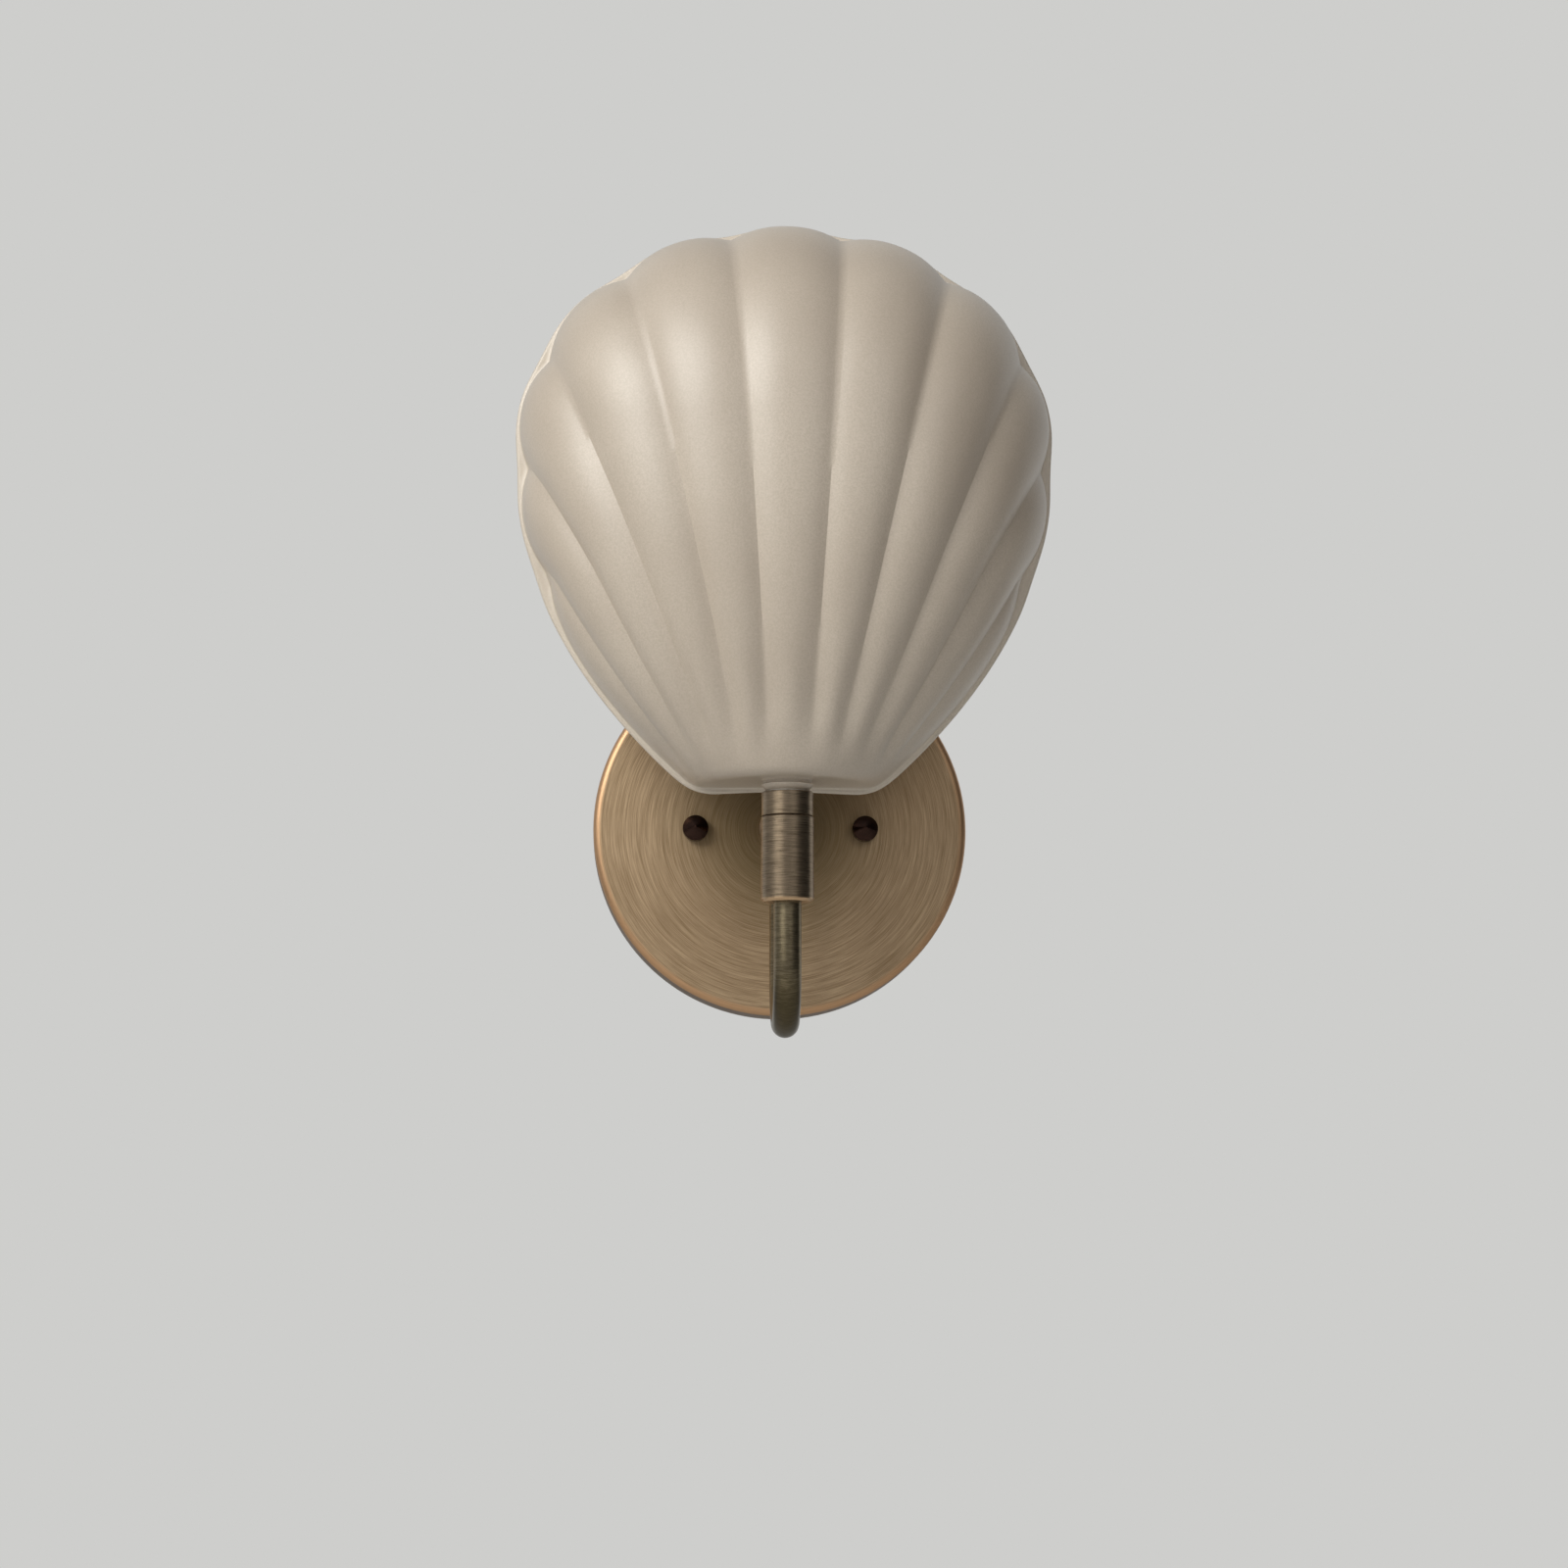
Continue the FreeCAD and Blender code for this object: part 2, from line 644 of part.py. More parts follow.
def make_holder_nut():
    bore = nipple_radius + slide_gap
    return hexagon(on_axis(holder_nut_low), Z_AXIS, holder_nut_flats, holder_nut_height, bore)


def make_lampholder():
    body = Part.makeCylinder(holder_radius, holder_height, on_axis(holder_low), Z_AXIS)
    corner = V(-holder_half, -arm_reach - holder_radius, holder_low)
    body = body.common(Part.makeBox(2 * holder_half, 2 * holder_radius, holder_height, corner))
    pocket_half = contact_half + slide_gap
    screw_end = leg_outer + slide_gap - holder_screw_length - holder_screw_room
    for side in (-1, 1):
        middle = V(side * pin_spread / 2, -arm_reach, 0)
        well = middle + V(0, 0, holder_high - pin_well)
        body = body.cut(Part.makeCylinder(pin_radius + pin_well_gap, pin_well, well, Z_AXIS))
        pocket = middle + V(-pocket_half, -pocket_half, holder_low)
        body = body.cut(Part.makeBox(2 * pocket_half, 2 * pocket_half, contact_height + slide_gap, pocket))
        hole = V(side * screw_end, -arm_reach, holder_low + holder_screw_up)
        body = body.cut(Part.makeCylinder(holder_screw_radius + slide_gap, holder_half, hole, V(side, 0, 0)))
    return body


def make_holder_screws():
    profile = [
        (0, -holder_screw_length), (holder_screw_radius, -holder_screw_length), (holder_screw_radius, 0),
        (holder_screw_head, 0), (holder_screw_head, holder_screw_rim),
        (holder_screw_head + holder_screw_rim - holder_screw_dome, holder_screw_dome), (0, holder_screw_dome),
    ]
    level = holder_low + holder_screw_up
    seats = [(side, V(side * (leg_outer + slide_gap), -arm_reach, level)) for side in (-1, 1)]
    return Part.makeCompound([turned(profile, seat, V(side, 0, 0)) for side, seat in seats])


def make_contacts():
    clips = []
    height = contact_height - contact_set_in
    for side in (-1, 1):
        middle = V(side * pin_spread / 2, -arm_reach, holder_low + contact_set_in)
        corner = middle + V(-contact_half, -contact_half, 0)
        clip = Part.makeBox(2 * contact_half, 2 * contact_half, height, corner)
        clips.append(clip.cut(Part.makeCylinder(wire_radius, height - 2.0, middle, Z_AXIS)))
    return Part.makeCompound(clips)


def make_bulb_pins():
    length = pin_length + pin_in_base
    edge = pin_radius - 0.4
    profile = [(0, 0), (edge, 0), (pin_radius, 0.4), (pin_radius, length), (0, length)]
    feet = [on_axis(bulb_low - pin_length) + V(side * pin_spread / 2, 0, 0) for side in (-1, 1)]
    return Part.makeCompound([turned(profile, foot, Z_AXIS) for foot in feet])


def make_bulb_base():
    inside = cover_radius - cover_wall - slide_gap
    lip = bulb_base_height - bulb_base_lip
    top = bulb_base_height + bulb_base_collar
    profile = [
        (0, 0), (bulb_base_radius - bulb_base_edge, 0), (bulb_base_radius, bulb_base_edge),
        (bulb_base_radius, lip), (cover_radius, lip), (cover_radius, bulb_base_height),
        (inside, bulb_base_height), (inside, top), (0, top),
    ]
    base = turned(profile, on_axis(bulb_low), Z_AXIS)
    for side in (-1, 1):
        hole = on_axis(bulb_low - overcut) + V(side * pin_spread / 2, 0, 0)
        depth = pin_in_base + slide_gap + overcut
        base = base.cut(Part.makeCylinder(pin_radius + slide_gap, depth, hole, Z_AXIS))
    half = stick_half + slide_gap
    thick = stick_board + 2 * slide_gap
    slot = on_axis(bulb_low + top - stick_set_in) + V(-half, -thick / 2, 0)
    return base.cut(Part.makeBox(2 * half, thick, stick_set_in, slot))


def dome_post(radius, straight):
    """A round post with a half ball on top, standing where the bulb's cover stands."""
    post = Part.makeCylinder(radius, straight, on_axis(cover_low), Z_AXIS)
    return post.fuse(Part.makeSphere(radius, on_axis(cover_low + straight)))


def make_bulb_cover():
    straight = cover_height - cover_radius
    return dome_post(cover_radius, straight).cut(dome_post(cover_radius - cover_wall, straight))


def make_led_stick():
    foot = on_axis(bulb_low + bulb_base_height + bulb_base_collar - stick_set_in + seat_gap)
    corner = foot + V(-stick_half, -stick_board / 2, 0)
    stick = Part.makeBox(2 * stick_half, stick_board, stick_height, corner)
    deep = stick_board + 2 * chip_proud
    for k in range(chip_rows):
        chip_corner = foot + V(-chip_width / 2, -deep / 2, chip_pitch * (k + 1))
        stick = stick.fuse(Part.makeBox(chip_width, deep, chip_height, chip_corner))
    return stick.removeSplitter()


makers = [
    ("canopy", make_canopy),
    ("crossbar", make_crossbar),
    ("canopy_studs", make_canopy_studs),
    ("stud_nuts", make_stud_nuts),
    ("cap_nuts", make_cap_nuts),
    ("ground_screw", make_ground_screw),
    ("arm_tube", make_arm_tube),
    ("arm_collar", make_arm_collar),
    ("arm_washer", make_arm_washer),
    ("arm_locknut", make_arm_locknut),
    ("socket_barrel", make_socket_barrel),
    ("barrel_nut", make_barrel_nut),
    ("shade_ring", make_shade_ring),
    ("nipple", make_nipple),
    ("lower_gasket", make_lower_gasket),
    ("upper_gasket", make_upper_gasket),
    ("clamp_washer", make_clamp_washer),
    ("clamp_nut", make_clamp_nut),
    ("glass_shell", make_glass_shell),
    ("holder_bracket", make_holder_bracket),
    ("holder_nut", make_holder_nut),
    ("lampholder", make_lampholder),
    ("holder_screws", make_holder_screws),
    ("contacts", make_contacts),
    ("bulb_pins", make_bulb_pins),
    ("bulb_base", make_bulb_base),
    ("bulb_cover", make_bulb_cover),
    ("led_stick", make_led_stick),
]

for name, maker in makers:
    shape = maker()
    print(name, shape.isValid(), len(shape.Solids), round(shape.Volume / 1000.0, 3),
          [round(v, 1) for v in (shape.BoundBox.XMin, shape.BoundBox.XMax, shape.BoundBox.YMin,
                                 shape.BoundBox.YMax, shape.BoundBox.ZMin, shape.BoundBox.ZMax)])
    shape.exportStep("parts/" + name + ".step")
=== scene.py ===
import math

import bmesh
import bpy
from mathutils import Matrix, Vector


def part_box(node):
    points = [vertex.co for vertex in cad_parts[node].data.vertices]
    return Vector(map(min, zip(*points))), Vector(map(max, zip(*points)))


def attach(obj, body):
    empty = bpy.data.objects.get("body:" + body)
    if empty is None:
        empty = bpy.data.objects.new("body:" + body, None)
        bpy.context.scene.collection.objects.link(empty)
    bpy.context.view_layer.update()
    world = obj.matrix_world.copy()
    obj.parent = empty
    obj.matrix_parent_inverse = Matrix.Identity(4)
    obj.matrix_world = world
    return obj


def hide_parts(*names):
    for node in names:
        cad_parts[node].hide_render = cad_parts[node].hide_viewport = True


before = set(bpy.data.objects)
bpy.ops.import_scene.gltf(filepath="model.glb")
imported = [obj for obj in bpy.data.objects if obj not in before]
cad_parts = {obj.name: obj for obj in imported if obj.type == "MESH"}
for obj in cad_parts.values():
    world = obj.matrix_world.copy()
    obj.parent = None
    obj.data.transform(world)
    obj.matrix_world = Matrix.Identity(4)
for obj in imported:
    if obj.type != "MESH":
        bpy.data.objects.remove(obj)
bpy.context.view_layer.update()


# ---------------------------------------------------------------- wall plate
# A shallow round cup of spun brass that covers the wall box. It is turned on a
# lathe, antiqued dark and brushed in circles, so its worn edge shows copper.
class Value:
    """A number or colour that changes over a surface; an expression on it adds Math nodes."""

    def __init__(self, paint, socket):
        self.paint = paint
        self.socket = socket

    def math(self, operation, *values):
        return self.paint.node("ShaderNodeMath", {"operation": operation}, dict(enumerate((self, *values))))

    def __add__(self, other):
        return self.math("ADD", other)

    def __sub__(self, other):
        return self.math("SUBTRACT", other)

    def __rsub__(self, other):
        return self.paint.node("ShaderNodeMath", {"operation": "SUBTRACT"}, {0: other, 1: self})

    def __mul__(self, other):
        return self.math("MULTIPLY", other)

    def __pow__(self, other):
        return self.math("POWER", other)

    __radd__ = __add__
    __rmul__ = __mul__


class Nodes:
    """The node tree of a finish or of the studio's light, with a method for each pattern it uses."""

    def __init__(self, tree):
        self.tree = tree

    def feed(self, node, values):
        for key, value in values.items():
            if isinstance(value, Value):
                self.tree.links.new(value.socket, node.inputs[key])
            else:
                node.inputs[key].default_value = value

    def node(self, kind, settings, values, out=0):
        """Add a node: its settings first, then the numbers or links of its sockets."""
        node = self.tree.nodes.new(kind)
        for key, value in settings.items():
            setattr(node, key, value)
        self.feed(node, values)
        return Value(self, node.outputs[out])

    def place(self):
        """The point on the piece, in metres in the lamp's own frame, and its three parts."""
        point = self.node("ShaderNodeTexCoord", {}, {}, "Object")
        return point, *(self.node("ShaderNodeSeparateXYZ", {}, {0: point}, part) for part in range(3))

    def point(self, x, y, z):
        return self.node("ShaderNodeCombineXYZ", {}, {0: x, 1: y, 2: z})

    def noise(self, vector, scale, detail=2.0, roughness=0.5):
        values = {"Vector": vector, "Scale": scale, "Detail": detail, "Roughness": roughness}
        return self.node("ShaderNodeTexNoise", {}, values, "Fac")

    def fade(self, value, low, high, start=0.0, end=1.0):
        """Soft step: start below low, end above high."""
        values = {"Value": value, "From Min": low, "From Max": high, "To Min": start, "To Max": end}
        return self.node("ShaderNodeMapRange", {"interpolation_type": "SMOOTHSTEP"}, values)

    def mix(self, share, first, second):
        return self.node("ShaderNodeMix", {"data_type": "RGBA"}, {0: share, 6: first, 7: second}, 2)

    def bump(self, height, distance):
        values = {"Height": height, "Distance": distance, "Strength": 1.0}
        return self.node("ShaderNodeBump", {}, values, "Normal")


class Paint(Nodes):
    """One procedural finish: a Principled shader and the nodes that feed it."""

    def __init__(self, name, roughness, metallic=0.0, **constants):
        self.material = bpy.data.materials.new(name)
        self.material.use_nodes = True
        super().__init__(self.material.node_tree)
        self.shader = self.tree.nodes["Principled BSDF"]
        self.feed(self.shader, {"Roughness": roughness, "Metallic": metallic})
        self.feed(self.shader, {key.replace("_", " "): value for key, value in constants.items()})


def rgb(red, green, blue):
    """A colour written as it looks on screen, 0 to 255, as a linear one."""
    parts = [part / 255.0 for part in (red, green, blue)]
    return (*(part / 12.92 if part <= 0.0404 else ((part + 0.055) / 1.055) ** 2.4 for part in parts), 1.0)


UP = Matrix.Identity(4)
NEAR = Matrix.Rotation(math.pi / 2, 4, "X")


def arc(centre_radius, centre_height, radius, start, end, steps):
    """Points of a round corner in a turned profile; angles in degrees from straight out."""
    turns = [math.radians(start + (end - start) * k / steps) for k in range(steps + 1)]
    return [(centre_radius + radius * math.cos(t), centre_height + radius * math.sin(t)) for t in turns]


def lathe(bm, profile, foot, turn, steps):
    """Spin a closed (radius, height) profile about an axis that stands on foot."""
    before = set(bm.verts)
    corners = [bm.verts.new((r, 0.0, h)) for r, h in profile]
    edges = [bm.edges.new((a, b)) for a, b in zip(corners, corners[1:] + corners[:1])]
    bmesh.ops.spin(bm, geom=corners + edges, cent=(0, 0, 0), axis=(0, 0, 1), angle=2 * math.pi,
                   steps=steps, use_merge=True)
    made = [v for v in bm.verts if v not in before]
    bmesh.ops.remove_doubles(bm, verts=made, dist=1e-6)
    made = [v for v in bm.verts if v not in before]
    bmesh.ops.transform(bm, matrix=Matrix.Translation(foot) @ turn, verts=made)


crease = math.radians(32)


def finish_piece(name, bm, paint, body, slot, *nodes):
    """Close a bmesh into a smooth object with its finish, carried by a body of the frame."""
    bmesh.ops.recalc_face_normals(bm, faces=bm.faces)
    for face in bm.faces:
        face.smooth = True
    for edge in bm.edges:
        if edge.is_manifold and edge.calc_face_angle() > crease:
            edge.smooth = False
    mesh = bpy.data.meshes.new(name)
    bm.to_mesh(mesh)
    bm.free()
    piece = bpy.data.objects.new(name, mesh)
    bpy.context.scene.collection.objects.link(piece)
    mesh.materials.append(paint.material)
    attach(piece, body)
    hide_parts(*nodes)
    return piece


fine_lines = 4200.0
fine_drift = 70.0
wide_lines = 1900.0
wide_drift = 40.0
fine_share = 0.75
mid_share = 0.35


def brushed(paint, across, along_a, along_b, dark, mid, light):
    """Brush lines that change fast with across and slowly along the other two."""
    fine_spot = paint.point(across * fine_lines, along_a * fine_drift, along_b * fine_drift)
    wide_spot = paint.point(across * wide_lines, along_a * wide_drift, along_b * wide_drift)
    fine = paint.noise(fine_spot, 1.0, 3.0, 0.7)
    wide = paint.noise(wide_spot, 1.0, 2.0, 0.7)
    lines = fine * fine_share + wide * (1.0 - fine_share)
    colour = paint.mix(paint.fade(lines, 0.32, 0.68), dark, light)
    return lines, paint.mix(mid_share, colour, mid)


plate_low, plate_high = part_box("canopy")
plate_radius = plate_high.x
plate_depth = -plate_low.y
plate_wall = 0.0012
plate_edge = 0.0028
plate_hole = 0.0048
plate_dark = rgb(138, 114, 84)
plate_mid = rgb(178, 152, 121)
plate_light = rgb(222, 196, 163)
plate_copper = rgb(204, 162, 124)
plate_shade_olive = rgb(116, 100, 66)
plate_side_shade = rgb(104, 82, 60)

inner_radius = plate_radius - plate_wall
inner_depth = plate_depth - plate_wall
inner_edge = plate_edge - plate_wall
plate_profile = [(plate_radius, 0.0)]
plate_profile += arc(plate_radius - plate_edge, plate_depth - plate_edge, plate_edge, 0, 90, 8)
plate_profile += [(plate_hole, plate_depth), (plate_hole, inner_depth)]
plate_profile += arc(inner_radius - inner_edge, inner_depth - inner_edge, inner_edge, 90, 0, 6)
plate_profile += [(inner_radius, 0.0)]

plate_brass = Paint("brushed_plate_brass", 0.42, 1.0)
spot, spot_x, spot_y, spot_z = plate_brass.place()
from_centre = (spot_x * spot_x + spot_z * spot_z) ** 0.5
plate_lines, plate_colour = brushed(
    plate_brass, from_centre, spot_x, spot_z, plate_dark, plate_mid, plate_light)
cloud = plate_brass.noise(spot, 16.0, 2.0, 0.5)
plate_colour = plate_brass.mix(plate_brass.fade(cloud, 0.35, 0.65, 0.0, 0.25), plate_colour, plate_dark)
# Painted shade: the middle of the plate, under the shell and round the socket, is mixed towards a dark
# olive.
centre_painted_shade = plate_brass.fade(from_centre + (cloud - 0.5) * 0.03, 0.014, 0.046, 0.6, 0.0)
plate_colour = plate_brass.mix(centre_painted_shade, plate_colour, plate_shade_olive)
worn = plate_brass.fade(from_centre + plate_lines * 0.0012, plate_radius - 0.0026, plate_radius - 0.0008)
plate_colour = plate_brass.mix(worn * 0.8, plate_colour, plate_copper)
# Painted shade: behind the rounded front edge the plate's side wall is mixed towards a dark brown.
side_painted_shade = plate_brass.fade(spot_y, 0.0017 - plate_depth, 0.0032 - plate_depth)
plate_colour = plate_brass.mix(side_painted_shade, plate_colour, plate_side_shade)
plate_brass.feed(plate_brass.shader, {
    "Base Color": plate_colour,
    "Roughness": 0.43 + plate_lines * 0.16 - worn * 0.05,
    "Normal": plate_brass.bump(plate_lines, 0.00004)})

plate_mesh = bmesh.new()
lathe(plate_mesh, plate_profile, (0, 0, 0), NEAR, 144)
finish_piece("wall_plate", plate_mesh, plate_brass, "wall_part", "wall_brass", "canopy")


# --------------------------------------------------- crossbar and what it holds
# Behind the plate: a zinc plated steel bar screwed to the wall box, two studs
# with their nuts, the green earth screw, and the arm's washer and locknut.
def plain(name, colour, roughness, metallic, grain, spread, depth, **constants):
    """A finish of one colour with soft grain: grain per metre, spread of tone, depth of bump."""
    paint = Paint(name, roughness, metallic, **constants)
    point = paint.place()[0]
    speck = paint.noise(point, grain, 3.0, 0.6)
    patch = paint.noise(point, grain / 9.0, 1.0, 0.5)
    tone = speck * 0.6 + patch * 0.4
    darker = tuple(c * (1.0 - spread) for c in colour[:3]) + (1.0,)
    paint.feed(paint.shader, {
        "Base Color": paint.mix(paint.fade(tone, 0.3, 0.7), darker, colour),
        "Roughness": roughness + (tone - 0.5) * 0.18,
        "Normal": paint.bump(speck, depth)})
    return paint


def dress(paint, *nodes):
    """Give CAD nodes a finish in place of their plain one."""
    for node in nodes:
        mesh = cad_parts[node].data
        mesh.materials.clear()
        mesh.materials.append(paint.material)


zinc = plain("zinc_plate", rgb(190, 192, 190), 0.38, 1.0, 900.0, 0.25, 0.00002)
green_lacquer = plain("green_lacquer", rgb(34, 118, 58), 0.35, 0.35, 1400.0, 0.35, 0.00001)
dress(zinc, "crossbar", "canopy_studs", "stud_nuts", "arm_washer", "arm_locknut", "barrel_nut")
dress(green_lacquer, "ground_screw")

# ------------------------------------------------------------------ cap nuts
# Two turned nuts, blackened nearly to brown, that hold the plate on its studs.
# Each is a short cylinder with a pointed end.
nut_low, nut_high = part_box("cap_nuts")
nut_radius = (nut_high.z - nut_low.z) / 2
nut_spread = nut_high.x - nut_radius
nut_body = 0.0046
nut_length = nut_high.y - nut_low.y
nut_tip = 0.0006
nut_chamfer = 0.0003

nut_profile = [(0.0, 0.0), (nut_radius - nut_chamfer, 0.0), (nut_radius, nut_chamfer)]
nut_profile += arc(nut_radius - nut_chamfer, nut_body - nut_chamfer, nut_chamfer, 0, 45, 3)
nut_profile += arc(0.0, nut_length - nut_tip, nut_tip, 45, 90, 3)

black_bronze = plain("black_bronze", rgb(66, 48, 42), 0.24, 1.0, 1800.0, 0.4, 0.00001)
nut_mesh = bmesh.new()
for side in (-1, 1):
    lathe(nut_mesh, nut_profile, (side * nut_spread, -plate_depth, 0), NEAR, 48)
finish_piece("pointed_cap_nuts", nut_mesh, black_bronze, "wall_part", "dark_bronze", "cap_nuts")

# ---------------------------------------------------------------- arm collar
# A small turned hub on the plate's face that the arm comes out of, chamfered
# at its front and brushed round.
collar_low, collar_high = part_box("arm_collar")
collar_radius = collar_high.x
collar_length = collar_high.y - collar_low.y
collar_chamfer = 0.0012
collar_bore = 0.0048
collar_profile = [
    (collar_bore, 0.0), (collar_radius, 0.0), (collar_radius, collar_length - collar_chamfer),
    (collar_radius - collar_chamfer, collar_length), (collar_bore, collar_length)]
turned_dark = rgb(92, 76, 60)
turned_mid = rgb(146, 124, 102)
turned_light = rgb(196, 170, 142)

collar_brass = Paint("turned_collar_brass", 0.38, 1.0)
spot, spot_x, spot_y, spot_z = collar_brass.place()
collar_lines, collar_colour = brushed(
    collar_brass, spot_y, spot_x, spot_z, turned_dark, turned_mid, turned_light)
collar_brass.feed(collar_brass.shader, {
    "Base Color": collar_colour,
    "Roughness": 0.30 + collar_lines * 0.16,
    "Normal": collar_brass.bump(collar_lines, 0.00002)})
collar_mesh = bmesh.new()
lathe(collar_mesh, collar_profile, (0, -plate_depth, 0), NEAR, 72)
finish_piece("arm_hub", collar_mesh, collar_brass, "wall_part", "arm_brass", "arm_collar")

# ------------------------------------------------------------------- the arm
# One length of 3/8 inch brass tube bent cold: out of the wall, down, round a
# wide U and up into the socket. Its dark finish is brushed across the tube.
tube_low, tube_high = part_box("arm_tube")
tube_radius = tube_high.x
tube_bore = tube_radius - 0.001
lamp_axis = tube_low.y + tube_radius
u_bend = 0.020
top_bend = 0.014
rear_leg = lamp_axis + 2 * u_bend
bend_level = tube_low.z + tube_radius + u_bend
tube_start = tube_high.y
tube_end = -0.0185
tube_sides = 40
between_ends = -0.05

runs = [
    (tube_start - (rear_leg + top_bend), 3),
    (top_bend * math.pi / 2, 14),
    (-top_bend - bend_level, 10),
    (u_bend * math.pi, 40),
    (tube_end - bend_level, 10)]


def arm_point(run, share):
    """Point and forward direction on the arm's centre line, in the plane x = 0."""
    if run == 0:
        return Vector((0, tube_start + (rear_leg + top_bend - tube_start) * share, 0)), Vector((0, -1, 0))
    if run == 1:
        turn = share * math.pi / 2
        centre = Vector((0, rear_leg + top_bend, -top_bend))
        out = Vector((0, -math.sin(turn), math.cos(turn)))
        return centre + top_bend * out, Vector((0, -math.cos(turn), -math.sin(turn)))
    if run == 2:
        return Vector((0, rear_leg, -top_bend + (bend_level + top_bend) * share)), Vector((0, 0, -1))
    if run == 3:
        turn = share * math.pi
        out = Vector((0, math.cos(turn), -math.sin(turn)))
        centre = Vector((0, rear_leg - u_bend, bend_level))
        return centre + u_bend * out, Vector((0, -math.sin(turn), -math.cos(turn)))
    return Vector((0, lamp_axis, bend_level + (tube_end - bend_level) * share)), Vector((0, 0, 1))


stations = []
gone = 0.0
for run, (length, steps) in enumerate(runs):
    first = 0 if run == 0 else 1
    stations += [(*arm_point(run, k / steps), gone + length * k / steps) for k in range(first, steps + 1)]
    gone += length

tube_mesh = bmesh.new()
tube_uv = tube_mesh.loops.layers.uv.new("along_tube")
last_station = len(stations) - 1
for radius in (tube_radius, tube_bore):
    grid = bmesh.ops.create_grid(tube_mesh, x_segments=last_station, y_segments=tube_sides, size=1.0)
    made = grid["verts"]
    spots = {}
    for vert in made:
        station = round((vert.co.x + 1) / 2 * last_station)
        turn = (vert.co.y + 1) * math.pi
        middle, forward, run_length = stations[station]
        side = Vector((1, 0, 0))
        spots[vert] = (run_length, turn * tube_radius)
        vert.co = middle + radius * (math.cos(turn) * side + math.sin(turn) * forward.cross(side))
    for face in {face for vert in made for face in vert.link_faces}:
        for loop in face.loops:
            loop[tube_uv].uv = spots[loop.vert]
bmesh.ops.remove_doubles(tube_mesh, verts=tube_mesh.verts, dist=1e-6)
open_ends = [edge for edge in tube_mesh.edges if edge.is_boundary]
for at_end in (False, True):
    near_end = [e for e in open_ends if (e.verts[0].co.y < between_ends) == at_end]
    bmesh.ops.bridge_loops(tube_mesh, edges=near_end)

arm_brass = Paint("dark_arm_brass", 0.36, 1.0)
spot, spot_x, spot_y, spot_z = arm_brass.place()
along = arm_brass.node("ShaderNodeUVMap", {"uv_map": "along_tube"}, {})
run_along = arm_brass.node("ShaderNodeSeparateXYZ", {}, {0: along}, 0)
arm_lines, arm_colour = brushed(arm_brass, run_along, spot_x * 4.0, spot_y * 2.0,
                                rgb(84, 75, 58), rgb(116, 105, 84), rgb(156, 143, 116))
blotch = arm_brass.fade(arm_brass.noise(spot, 420.0, 3.0, 0.6), 0.44, 0.66)
arm_colour = arm_brass.mix(blotch * 0.15, arm_colour, rgb(66, 60, 46))
# Painted shade: below the U bend's level the arm is mixed towards a darker brown, with a ragged edge.
ragged_level = spot_z + (arm_lines - 0.5) * 0.006
foot_painted_shade = arm_brass.fade(ragged_level, bend_level - 0.014, bend_level - 0.002, 0.75, 0.0)
arm_colour = arm_brass.mix(foot_painted_shade, arm_colour, rgb(70, 62, 44))
arm_brass.feed(arm_brass.shader, {
    "Base Color": arm_colour,
    "Roughness": 0.24 + arm_lines * 0.14,
    "Normal": arm_brass.bump(arm_lines, 0.000018)})
finish_piece("bent_arm", tube_mesh, arm_brass, "wall_part", "arm_brass", "arm_tube")

# ------------------------------------------------------------- socket barrel
# The brass sleeve at the top of the arm: turned, with a painted highlight on the
# chamfer at its foot. The ring above it turns with the shade, so a thin seam parts the two.
barrel_low, barrel_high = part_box("socket_barrel")
barrel_radius = barrel_high.x
barrel_length = barrel_high.z - barrel_low.z
barrel_bore = 0.0076
barrel_floor = 0.006
barrel_chamfer = 0.0009
small_edge = 0.0002
ring_low, ring_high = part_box("shade_ring")
ring_radius = ring_high.x
ring_foot = barrel_high.z + 0.0003
ring_length = ring_high.z - ring_foot
spigot_radius = barrel_bore - 0.00006
spigot_depth = ring_foot - ring_low.z
nipple_hole = 0.00495

barrel_profile = [
    (collar_bore, 0.0), (barrel_radius - barrel_chamfer, 0.0), (barrel_radius, barrel_chamfer),
    (barrel_radius, barrel_length - small_edge), (barrel_radius - small_edge, barrel_length),
    (barrel_bore, barrel_length), (barrel_bore, barrel_floor), (collar_bore, barrel_floor)]
ring_profile = [
    (nipple_hole, -spigot_depth), (spigot_radius, -spigot_depth), (spigot_radius, 0.0),
    (ring_radius - small_edge, 0.0), (ring_radius, small_edge), (ring_radius, ring_length - 0.0003),
    (ring_radius - 0.0003, ring_length), (nipple_hole, ring_length)]

socket_brass = Paint("turned_socket_brass", 0.34, 1.0)
spot, spot_x, spot_y, spot_z = socket_brass.place()
socket_lines, socket_colour = brushed(socket_brass, spot_z, spot_x * 2.0, spot_y * 2.0,
                                      rgb(98, 84, 67), rgb(130, 115, 96), rgb(170, 152, 129))
# Painted highlight: the chamfer at the sleeve's foot is mixed towards a pale bright brass.
foot_painted_highlight = socket_brass.fade(spot_z, barrel_low.z + 0.0016, barrel_low.z + 0.0006)
socket_colour = socket_brass.mix(foot_painted_highlight * 0.7, socket_colour, rgb(226, 190, 150))
socket_brass.feed(socket_brass.shader, {
    "Base Color": socket_colour,
    "Roughness": 0.22 + socket_lines * 0.14,
    "Normal": socket_brass.bump(socket_lines, 0.00002)})
barrel_mesh = bmesh.new()
lathe(barrel_mesh, barrel_profile, (0, lamp_axis, barrel_low.z), UP, 96)
finish_piece("socket_sleeve", barrel_mesh, socket_brass, "wall_part", "socket_brass", "socket_barrel")
ring_mesh = bmesh.new()
lathe(ring_mesh, ring_profile, (0, lamp_axis, ring_foot), UP, 96)
finish_piece("turning_ring", ring_mesh, socket_brass, "shade", "socket_brass", "shade_ring")

